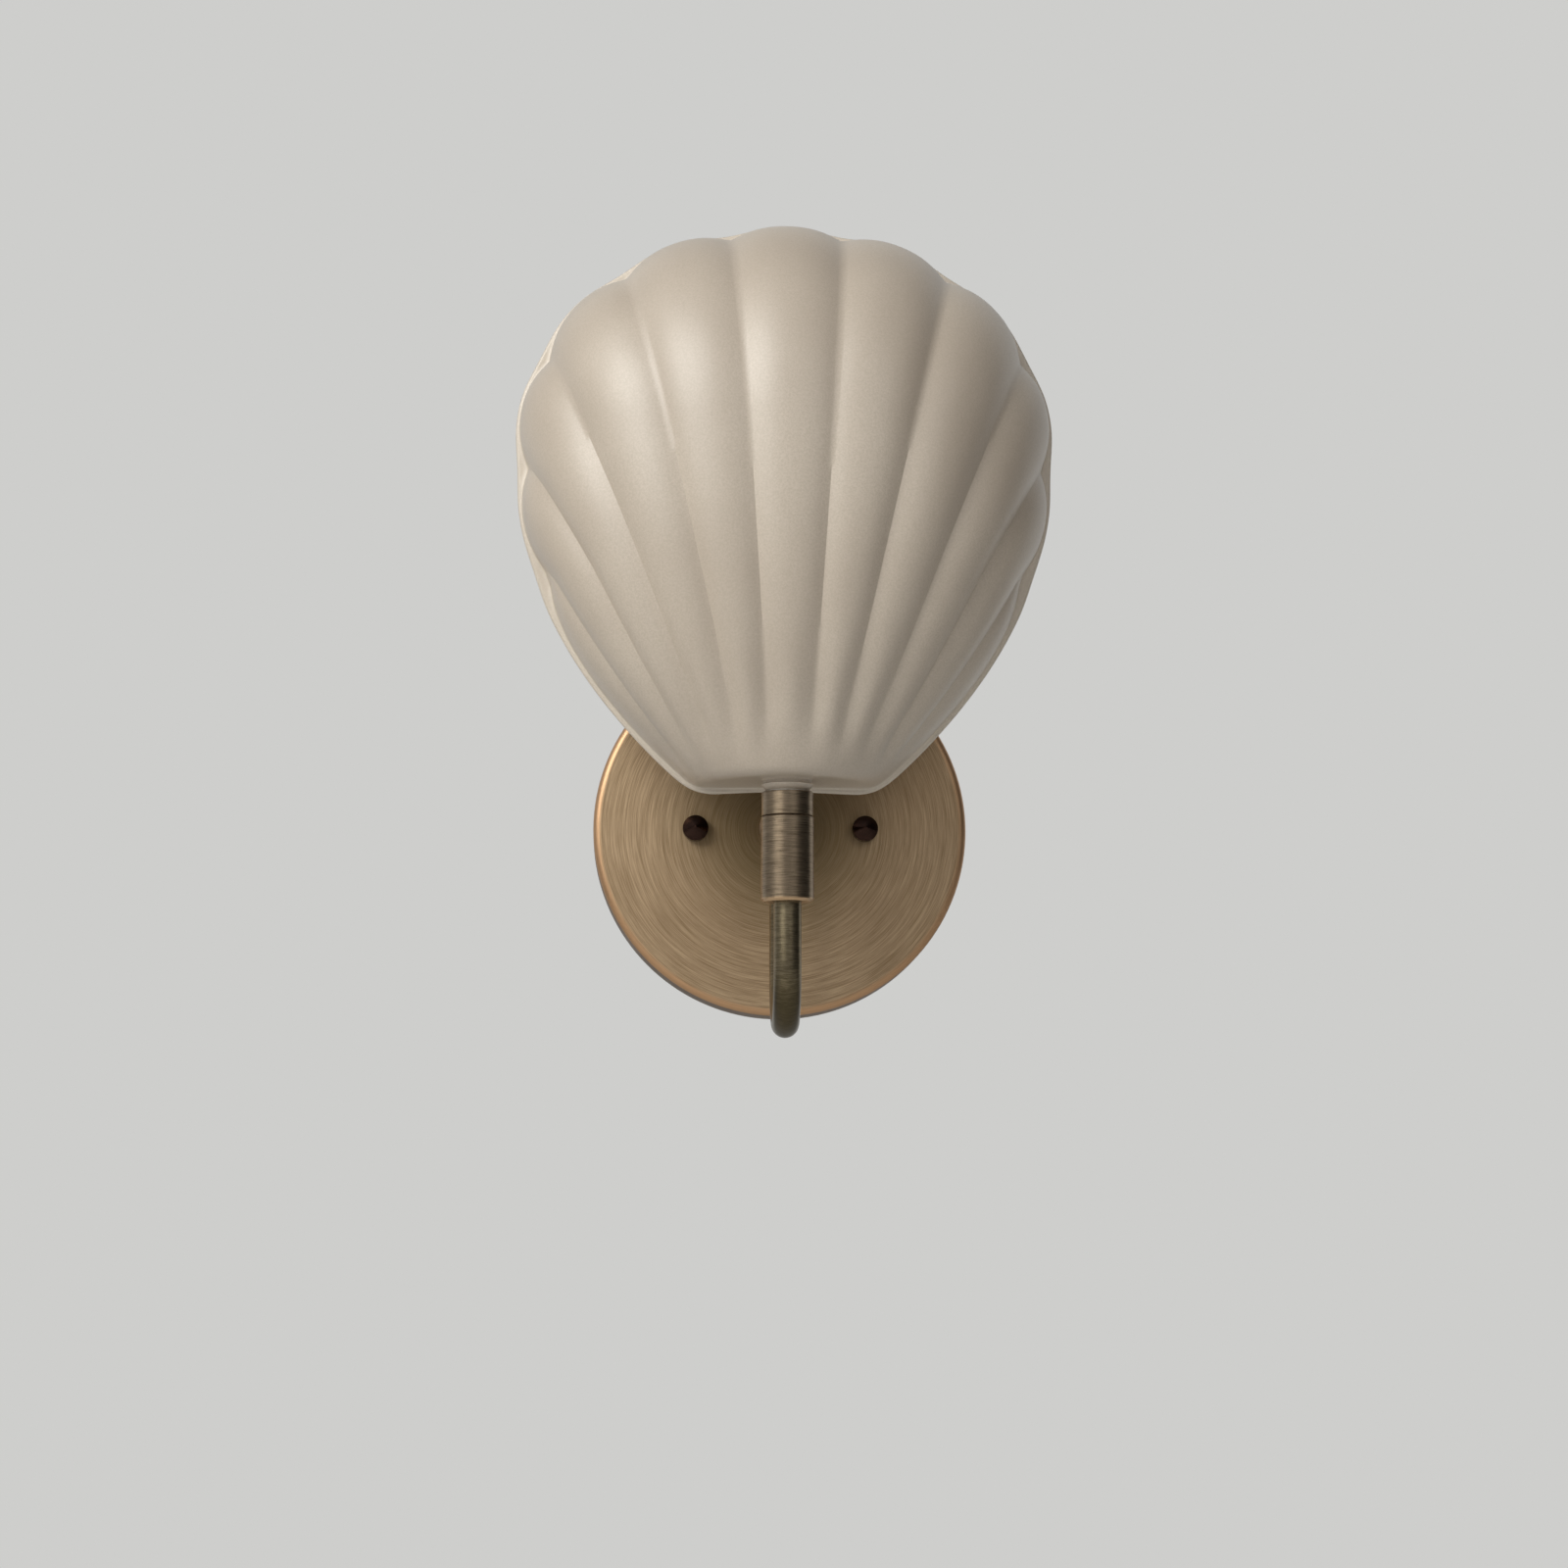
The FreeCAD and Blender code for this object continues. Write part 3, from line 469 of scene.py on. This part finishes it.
# --------------------------------------------- nipple, gaskets, clamping parts
# The threaded nipple goes up through the glass. Two silicone gaskets guard the
# glass, and a brass washer and nut inside press it down on the ring.
silicone = plain("pale_silicone", rgb(206, 204, 196), 0.6, 0.0, 2200.0, 0.1, 0.00001)
clamp_brass = plain("clamp_brass", rgb(186, 158, 116), 0.34, 1.0, 1500.0, 0.25, 0.00001)
dress(silicone, "lower_gasket", "upper_gasket")
dress(clamp_brass, "clamp_washer", "clamp_nut")
dress(zinc, "nipple", "holder_nut")

# --------------------------------------------------------------- glass shell
# The shade: pressed glass, satin frosted, shaped as half a scallop shell with
# eleven lobes. It stands on a small boss and ends behind in a thin flat rim.
glass_low, glass_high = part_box("glass_shell")
glass = 0.003
rim_plane = glass_high.y
rim_top = glass_high.z - 0.0003
rim_step = 0.0013
rim_half_width = glass_high.x + 0.0002
rim_plate = 0.0026
rim_fillet = 0.0008
rim_round = 0.0009
boss_top = 0.0082
floor_level = 0.0098
floor_round = 0.0034
dome_depth = rim_plane - glass_low.y
floor_depth = 0.040
floor_half_width = 0.0296
foot_half_width = 0.0328
widest_level = 0.1295
flare = 2.24
top_round = 2.04
lobe_centre = 0.108
side_lobes = 5.5
lobe_pitch = 23.3
last_lobe_turn = 3.6
floor_first = 11.4
floor_pitch = 15.72
lobe_depth = 0.037
lobe_fade = 0.11
axis_soften = 0.010
first_scallop = 0.0018
last_scallop = 0.0005
scallop_power = 2.6
groove_round = 0.035
corner_power = 46.0
rim_bottom = 0.0074
rim_bottom_rise = 0.0011
rim_bottom_half = 0.026
boss_foot = glass_low.z
boss_low_radius = 0.00735
boss_high_radius = 0.0089
boss_hole = 0.0052
boss_edge = 0.0002
neck_inset = 0.0006
neck_rise = 0.0003
neck_drop = 0.0004
valley_power = 2.2
crisp_from = 0.28
flank_power = 4
last_groove_power = 6
halvings = 44
foot_from = -0.2
rim_sweep = 0.0022
fillet_steps = 5
round_steps = 8


def shell_size(level, inset):
    """Half width and depth of the dome at a level, taken inset inside the lobes' outline."""
    wide = rim_half_width - rim_step - inset
    deep = dome_depth - inset
    low = (foot_half_width if inset < 0 else floor_half_width) - max(inset, 0.0)
    if level < widest_level:
        share = ((widest_level - level) / (widest_level - boss_top)) ** flare
        return wide - (wide - low) * share, deep - (deep - floor_depth + inset) * share
    rise = min(1.0, (level - widest_level) / (rim_top - rim_step - inset - widest_level))
    share = (1.0 - rise ** top_round) ** (1.0 / top_round)
    return wide * share, deep * share


def rim_reach(angle, inset):
    """Distance from the lobe centre to the outline, at an angle from straight up."""
    low, high = 0.0, 0.2
    for _ in range(halvings):
        reach = (low + high) / 2
        level = lobe_centre + reach * math.cos(angle)
        inside = level < rim_top - rim_step - inset
        if inside and reach * abs(math.sin(angle)) < shell_size(level, inset)[0]:
            low = reach
        else:
            high = reach
    return low


def floor_angle(lobe):
    side = abs(lobe)
    angle = 2 * floor_first * side if side < 0.5 else floor_first + floor_pitch * (side - 0.5)
    return math.copysign(math.radians(min(angle, 90.0)), lobe)


def rim_angle(lobe):
    side = abs(lobe)
    last = side_lobes - 1
    angle = lobe_pitch * side if side < last else lobe_pitch * last + last_lobe_turn * (side - last)
    return math.copysign(math.radians(angle), lobe)


def soft_outline(angle):
    """Reach of the rim's own outline: scallops above, two rounded corners and a flat foot below."""
    flank = rim_reach(angle, -rim_step)
    place = abs(angle) / math.radians(lobe_pitch)
    if place < side_lobes - 0.5:
        near = place - math.floor(place) - 0.5
        share = math.floor(place) / (side_lobes - 1.5)
        scallop = first_scallop + (last_scallop - first_scallop) * share
        flank -= scallop * math.cos(math.pi * near) ** scallop_power
    if math.cos(angle) > foot_from:
        return flank
    aside = (lobe_centre - rim_bottom) * math.tan(math.pi - abs(angle))
    rise = rim_bottom_rise * max(0.0, 1 - (aside / rim_bottom_half) ** 2)
    foot = (lobe_centre - rim_bottom - rise) / -math.cos(angle)
    return (flank ** -corner_power + foot ** -corner_power) ** (-1.0 / corner_power)


class Column:
    """One upright line of the fluted dome, from the floor's edge up to the rim."""

    def __init__(self, lobe, inset, start, foot):
        self.lobe = lobe
        self.inset = inset
        self.start = start
        self.foot = foot
        self.low_x = shell_size(start, inset)[0] * math.sin(floor_angle(lobe))
        reach = rim_reach(rim_angle(lobe), inset)
        self.high_x = reach * math.sin(rim_angle(lobe))
        self.high_z = lobe_centre + reach * math.cos(rim_angle(lobe))
        last = rim_reach(rim_angle(side_lobes), inset)
        self.last_x = last * math.sin(rim_angle(side_lobes))
        self.last_z = lobe_centre + last * math.cos(rim_angle(side_lobes))

    def at(self, rise):
        lobe, inset, start = self.lobe, self.inset, self.start
        along = math.sin(rise * math.pi / 2)
        x = self.low_x * (1 - along) + self.high_x * along
        z = start * (1 - along) + self.high_z * along
        share = (z - start) / (self.last_z - start)
        if share < 1.0:
            straight = shell_size(start, inset)[0] * (1 - share) + self.last_x * share
            bulge = (abs(lobe) / side_lobes) ** flank_power * (shell_size(z, inset)[0] - straight)
            x += math.copysign(bulge, lobe)
        wide, deep = shell_size(z, inset)
        across = min(1.0, abs(x) / wide) if wide > 0 else 1.0
        edge = rise >= 1.0 or abs(lobe) >= side_lobes
        depth = self.foot + (0.0 if edge else (deep - self.foot) * math.sqrt(1 - across * across))
        place = abs(lobe) - math.floor(abs(lobe) + 0.5)
        if abs(lobe) > side_lobes - 1:
            place = (side_lobes - abs(lobe)) / 2
        crest = 1 - abs(2 * place)
        swell = math.hypot(crest, groove_round) - groove_round
        valley = 1 - swell / (math.hypot(1, groove_round) - groove_round)
        soft = math.sin(math.pi * place) ** 2
        sharp = min(1.0, along / crisp_from)
        groove = soft + (valley ** valley_power - soft) * sharp
        if abs(lobe) > side_lobes - 1:
            groove += (1 - groove) * along ** last_groove_power
        fade = min(1.0, along / lobe_fade)
        pull = 1.0 - lobe_depth * groove * fade * fade * (3 - 2 * fade)
        lift = z - lobe_centre
        centre = lobe_centre + (lift - math.hypot(lift, axis_soften)) / 2
        z = centre + (z - centre) * pull if z > start else z
        depth = self.foot + (depth - self.foot) * pull
        return Vector((x * pull, rim_plane - depth, z))


floor_rows = 10
corner_rows = 7
wall_rows = 96
lobe_columns = 20
columns_across = int(2 * side_lobes * lobe_columns)
rows_up = floor_rows + corner_rows + wall_rows


def skin(bm, inset, foot):
    """One side of the glass as a grid: floor, rounded corner and wall, kept by column and row."""
    level = floor_level + inset
    start = level + (floor_round if inset == 0 else floor_round / 2)
    made = bmesh.ops.create_grid(bm, x_segments=columns_across, y_segments=rows_up, size=1.0)["verts"]
    lines = {}
    grid = {}
    for vert in made:
        column = round((vert.co.x + 1) / 2 * columns_across)
        row = round((vert.co.y + 1) / 2 * rows_up)
        if column not in lines:
            lobe = (column / columns_across - 0.5) * 2 * side_lobes
            half = side_lobes - 0.5
            if abs(lobe) > half:
                lobe = math.copysign(half + 0.5 * math.sin((abs(lobe) - half) * math.pi), lobe)
            lines[column] = Column(lobe, inset, start, foot)
        line = lines[column]
        if row >= floor_rows + corner_rows:
            vert.co = line.at((row - floor_rows - corner_rows) / wall_rows)
        else:
            top = line.at(0.0)
            slope = line.at(0.5 / wall_rows) - top
            knee = top - slope * ((start - level) / slope.z)
            middle = Vector((0, rim_plane - foot, level))
            inward = (middle - knee).normalized()
            edge = knee + inward * (floor_round if inset == 0 else floor_round / 2)
            at_rim = abs(line.lobe) >= side_lobes
            for corner in (knee, edge):
                corner.y = rim_plane - foot if at_rim else min(corner.y, rim_plane - foot - 0.0001)
            if row <= floor_rows:
                vert.co = middle.lerp(edge, row / floor_rows)
            else:
                t = (row - floor_rows) / corner_rows
                vert.co = edge * (1 - t) ** 2 + knee * (2 * t * (1 - t)) + top * t ** 2
        grid[column, row] = vert
    return grid


def border(grid):
    """The corners on the open edge of a skin, where it meets the rim."""
    sides = [(column, row) for column in (0, columns_across) for row in range(rows_up + 1)]
    top = [(column, rows_up) for column in range(columns_across + 1)]
    return {spot: grid[spot] for spot in sides + top}


shell_mesh = bmesh.new()
for layer_name in ("inside", "root"):
    shell_mesh.verts.layers.float_vector.new(layer_name)
pale = shell_mesh.verts.layers.float.new("rim_painted_glow")
inside = shell_mesh.verts.layers.float_vector["inside"]
root = shell_mesh.verts.layers.float_vector["root"]
rim_foot = rim_plate + rim_fillet
outer = border(skin(shell_mesh, 0.0, rim_foot))
inner = border(skin(shell_mesh, glass, 0.0))
for spot, vert in outer.items():
    vert[inside] = inner[spot].co
    vert[root] = vert.co
ring_verts = set(outer.values())
ring_edges = {edge for vert in ring_verts for edge in vert.link_edges if ring_verts.issuperset(edge.verts)}
ring_edges = [edge for edge in ring_edges if edge.is_boundary]


def rim_profile(room):
    """Steps from the dome's foot to the rim's back: how far out, and how far before the rim plane."""
    bend = min(room / 2, rim_round)
    sweep = min(room - bend, rim_sweep)
    turns = [math.radians(90 * k / fillet_steps) for k in range(1, fillet_steps + 1)]
    steps = [(sweep * (1 - math.cos(t)), rim_plate + rim_fillet * (1 - math.sin(t))) for t in turns]
    halves = [math.radians(180 * k / round_steps) for k in range(round_steps + 1)]
    return steps + [(room - bend + bend * math.sin(t), rim_plate / 2 * (1 + math.cos(t))) for t in halves]


rim_room = {}
for vert in outer.values():
    flat = Vector((vert.co.x, 0, vert.co.z - lobe_centre))
    angle = math.atan2(flat.x, flat.z)
    room = max(0.0, soft_outline(angle) - flat.length)
    rim_room[tuple(vert[root])] = (flat.normalized(), rim_profile(room))

rim_steps = len(rim_profile(0.001))
for step in range(rim_steps + 1):
    made = bmesh.ops.extrude_edge_only(shell_mesh, edges=ring_edges)["geom"]
    for vert in [part for part in made if isinstance(part, bmesh.types.BMVert)]:
        out, profile = rim_room[tuple(vert[root])]
        if step == rim_steps:
            vert.co = vert[inside]
            continue
        shift, depth = profile[step]
        vert.co = Vector((vert[root][0], rim_plane - depth, vert[root][2])) + out * shift
        # Painted light: the rim's corners are marked to be painted paler, as a glow through the thin glass
        # edge.
        vert[pale] = 1.0
    ring_edges = [part for part in made if isinstance(part, bmesh.types.BMEdge) and part.is_boundary]
bmesh.ops.remove_doubles(shell_mesh, verts=shell_mesh.verts, dist=2e-6)

neck_radius = boss_high_radius - neck_inset
boss_profile = [
    (boss_hole, boss_foot), (boss_low_radius - boss_edge, boss_foot),
    (boss_low_radius, boss_foot + boss_edge), (boss_high_radius, boss_top - boss_edge),
    (boss_high_radius, boss_top), (neck_radius, boss_top + neck_rise),
    (neck_radius, floor_level - neck_drop), (boss_high_radius, floor_level),
    (boss_hole, floor_level + boss_edge)]
before_boss = set(shell_mesh.verts)
lathe(shell_mesh, boss_profile, (0, lamp_axis, 0), UP, 96)
# Painted light: the boss is marked to be painted a little paler.
for vert in shell_mesh.verts:
    if vert not in before_boss:
        vert[pale] = 0.2
for layer_name in ("inside", "root"):
    shell_mesh.verts.layers.float_vector.remove(shell_mesh.verts.layers.float_vector[layer_name])

glass_cream = rgb(203, 190, 175)
glass_shade = rgb(189, 175, 160)
glass_glow_colour = rgb(228, 218, 202)
glass_grain = rgb(166, 154, 132)
frosted = Paint("satin_frosted_glass", 0.5, 0.0, IOR=1.6, Coat_Weight=0.95, Coat_Roughness=0.42)
spot, spot_x, spot_y, spot_z = frosted.place()
grain = frosted.noise(spot, 1500.0, 3.0, 0.7)
haze = frosted.noise(spot, 14.0, 2.0, 0.5)
rim_glow_share = frosted.node("ShaderNodeAttribute", {"attribute_name": "rim_painted_glow"}, {}, "Fac")
glass_colour = frosted.mix(frosted.fade(haze, 0.3, 0.7), glass_shade, glass_cream)
glass_colour = frosted.mix(frosted.fade(grain, 0.32, 0.68) * 0.4, glass_colour, glass_grain)
# Painted light: the rim, and less the boss, are mixed towards a paler cream.
glass_colour = frosted.mix(rim_glow_share * 0.4, glass_colour, glass_glow_colour)
frosted.feed(frosted.shader, {
    "Base Color": glass_colour,
    "Roughness": 0.45 + grain * 0.14,
    "Normal": frosted.bump(grain, 0.00007)})
finish_piece("scallop_shade", shell_mesh, frosted, "shade", "frosted_glass", "glass_shell")

# --------------------------------------------------------- lampholder and bulb
# Inside the glass a bent steel bracket carries a ceramic two pin lampholder,
# and a small LED bulb with a milky domed cover is pushed into it.
ceramic = plain("white_ceramic", rgb(226, 224, 216), 0.55, 0.0, 1600.0, 0.08, 0.00002)
contact_brass = plain("contact_brass", rgb(206, 172, 96), 0.3, 1.0, 1500.0, 0.2, 0.00001)
pin_nickel = plain("pin_nickel", rgb(200, 200, 198), 0.25, 1.0, 1500.0, 0.15, 0.00001)
base_plastic = plain("base_plastic", rgb(232, 232, 228), 0.42, 0.0, 1200.0, 0.05, 0.00001)
milky = plain("milky_cover", rgb(238, 236, 228), 0.3, 0.0, 500.0, 0.03, 0.000005, Coat_Weight=0.3)
board = plain("led_board", rgb(220, 206, 120), 0.5, 0.0, 900.0, 0.2, 0.00001)
dress(zinc, "holder_bracket", "holder_screws")
dress(ceramic, "lampholder")
dress(contact_brass, "contacts")
dress(pin_nickel, "bulb_pins")
dress(base_plastic, "bulb_base")
dress(board, "led_stick")

cover_low, cover_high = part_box("bulb_cover")
cover_radius = cover_high.x
cover_wall = 0.001
cover_straight = cover_high.z - cover_low.z - cover_radius
cover_profile = [(cover_radius, 0.0)]
cover_profile += arc(0.0, cover_straight, cover_radius, 0, 90, 12)
cover_profile += arc(0.0, cover_straight, cover_radius - cover_wall, 90, 0, 12)
cover_profile += [(cover_radius - cover_wall, 0.0)]
cover_mesh = bmesh.new()
lathe(cover_mesh, cover_profile, (0, lamp_axis, cover_low.z), UP, 64)
finish_piece("domed_bulb_cover", cover_mesh, milky, "bulb", "bulb_cover", "bulb_cover")

# ------------------------------------------------------ floor, light and camera
# A pale floor well below the lamp and a pale backdrop well behind it, a large
# soft lamp from the upper left, a weak one from the right, and a darker right side.
target = Vector((0.00222, 0.0, 0.01873))
camera_distance = 1.5
camera_left = math.radians(2.3)
camera_below = math.radians(6.9)
camera_lens = 95.2
floor_height = -0.7
backdrop_behind = 2.6
backdrop_middle = 2.0
stage_width = 14.0
backdrop_height = 5.4
lamp_aim = Vector((0, -0.06, 0.06))
lit_direction = (-0.74, -0.60, 0.30)
dark_direction = (0.95, -0.30, 0.0)
sky_level = 0.15
sky_lift = 0.26
sky_drop = 0.10


def stage_plane(name, width, height, matrix, colour, glow):
    """A flat sheet of the studio; with glow, the camera and the gloss see its plain colour."""
    bm = bmesh.new()
    bmesh.ops.create_grid(bm, x_segments=1, y_segments=1, size=0.5)
    bmesh.ops.scale(bm, vec=(width, height, 1), verts=bm.verts)
    bmesh.ops.transform(bm, matrix=matrix, verts=bm.verts)
    mesh = bpy.data.meshes.new(name)
    bm.to_mesh(mesh)
    bm.free()
    plane = bpy.data.objects.new(name, mesh)
    bpy.context.scene.collection.objects.link(plane)
    paint = Paint(name + "_paint", 0.9, Base_Color=colour)
    if glow:
        seen = [paint.node("ShaderNodeLightPath", {}, {}, ray)
                for ray in ("Is Camera Ray", "Is Glossy Ray", "Is Transmission Ray")]
        light = paint.node("ShaderNodeEmission", {}, {"Color": colour, "Strength": 1.0})
        share = seen[0].math("MAXIMUM", seen[1]).math("MAXIMUM", seen[2])
        shader = Value(paint, paint.shader.outputs[0])
        both = paint.node("ShaderNodeMixShader", {}, {0: share, 1: shader, 2: light})
        output = next(n for n in paint.tree.nodes if n.type == "OUTPUT_MATERIAL")
        paint.feed(output, {"Surface": both})
    mesh.materials.append(paint.material)


def lamp(name, direction, distance, size, power, colour):
    """A square soft lamp that faces the shade from a direction."""
    light = bpy.data.lights.new(name, "AREA")
    light.shape = "SQUARE"
    light.size = size
    light.energy = power
    light.color = colour
    holder = bpy.data.objects.new(name, light)
    holder.location = lamp_aim + Vector(direction).normalized() * distance
    holder.rotation_euler = (lamp_aim - holder.location).to_track_quat("-Z", "Y").to_euler()
    bpy.context.scene.collection.objects.link(holder)


level_ground = Matrix.Translation((0, 0, floor_height))
upright = Matrix.Translation((0, backdrop_behind, backdrop_middle)) @ Matrix.Rotation(math.pi / 2, 4, "X")
stage_plane("floor", stage_width, stage_width, level_ground, rgb(226, 225, 222), False)
stage_plane("backdrop", stage_width, backdrop_height, upright, rgb(206, 206, 204), True)
lamp("key_lamp", (-0.58, -0.62, 0.50), 2.2, 1.4, 38.0, (1.0, 0.995, 0.96))
lamp("fill_lamp", (0.42, -0.82, 0.40), 2.4, 1.2, 4.8, (1.0, 0.98, 0.95))

world = bpy.data.worlds.new("studio")
bpy.context.scene.world = world
world.use_nodes = True
sky = Nodes(world.node_tree)
toward = sky.node("ShaderNodeTexCoord", {}, {}, "Generated")


def facing(direction):
    """How far a part of the sky lies in a direction, from -1 to 1."""
    return sky.node("ShaderNodeVectorMath", {"operation": "DOT_PRODUCT"}, {0: toward, 1: direction}, "Value")


brighter = sky.fade(facing(lit_direction), -0.5, 0.9, 0.0, sky_lift)
darker_side = sky.fade(facing(dark_direction), 0.3, 0.8, 0.0, sky_drop)
level = sky_level + brighter - darker_side
background = next(n for n in world.node_tree.nodes if n.type == "BACKGROUND")
background.inputs["Color"].default_value = (1.0, 1.0, 1.0, 1.0)
sky.feed(background, {"Strength": level})

camera = bpy.data.objects.new("camera", bpy.data.cameras.new("camera"))
bpy.context.scene.collection.objects.link(camera)
camera.data.lens = camera_lens
camera.data.sensor_width = 36.0
away = Vector((-math.sin(camera_left) * math.cos(camera_below),
               -math.cos(camera_left) * math.cos(camera_below), -math.sin(camera_below)))
camera.location = target + camera_distance * away
camera.rotation_euler = (-away).to_track_quat("-Z", "Y").to_euler()
bpy.context.scene.camera = camera
bpy.context.scene.view_settings.view_transform = "Standard"
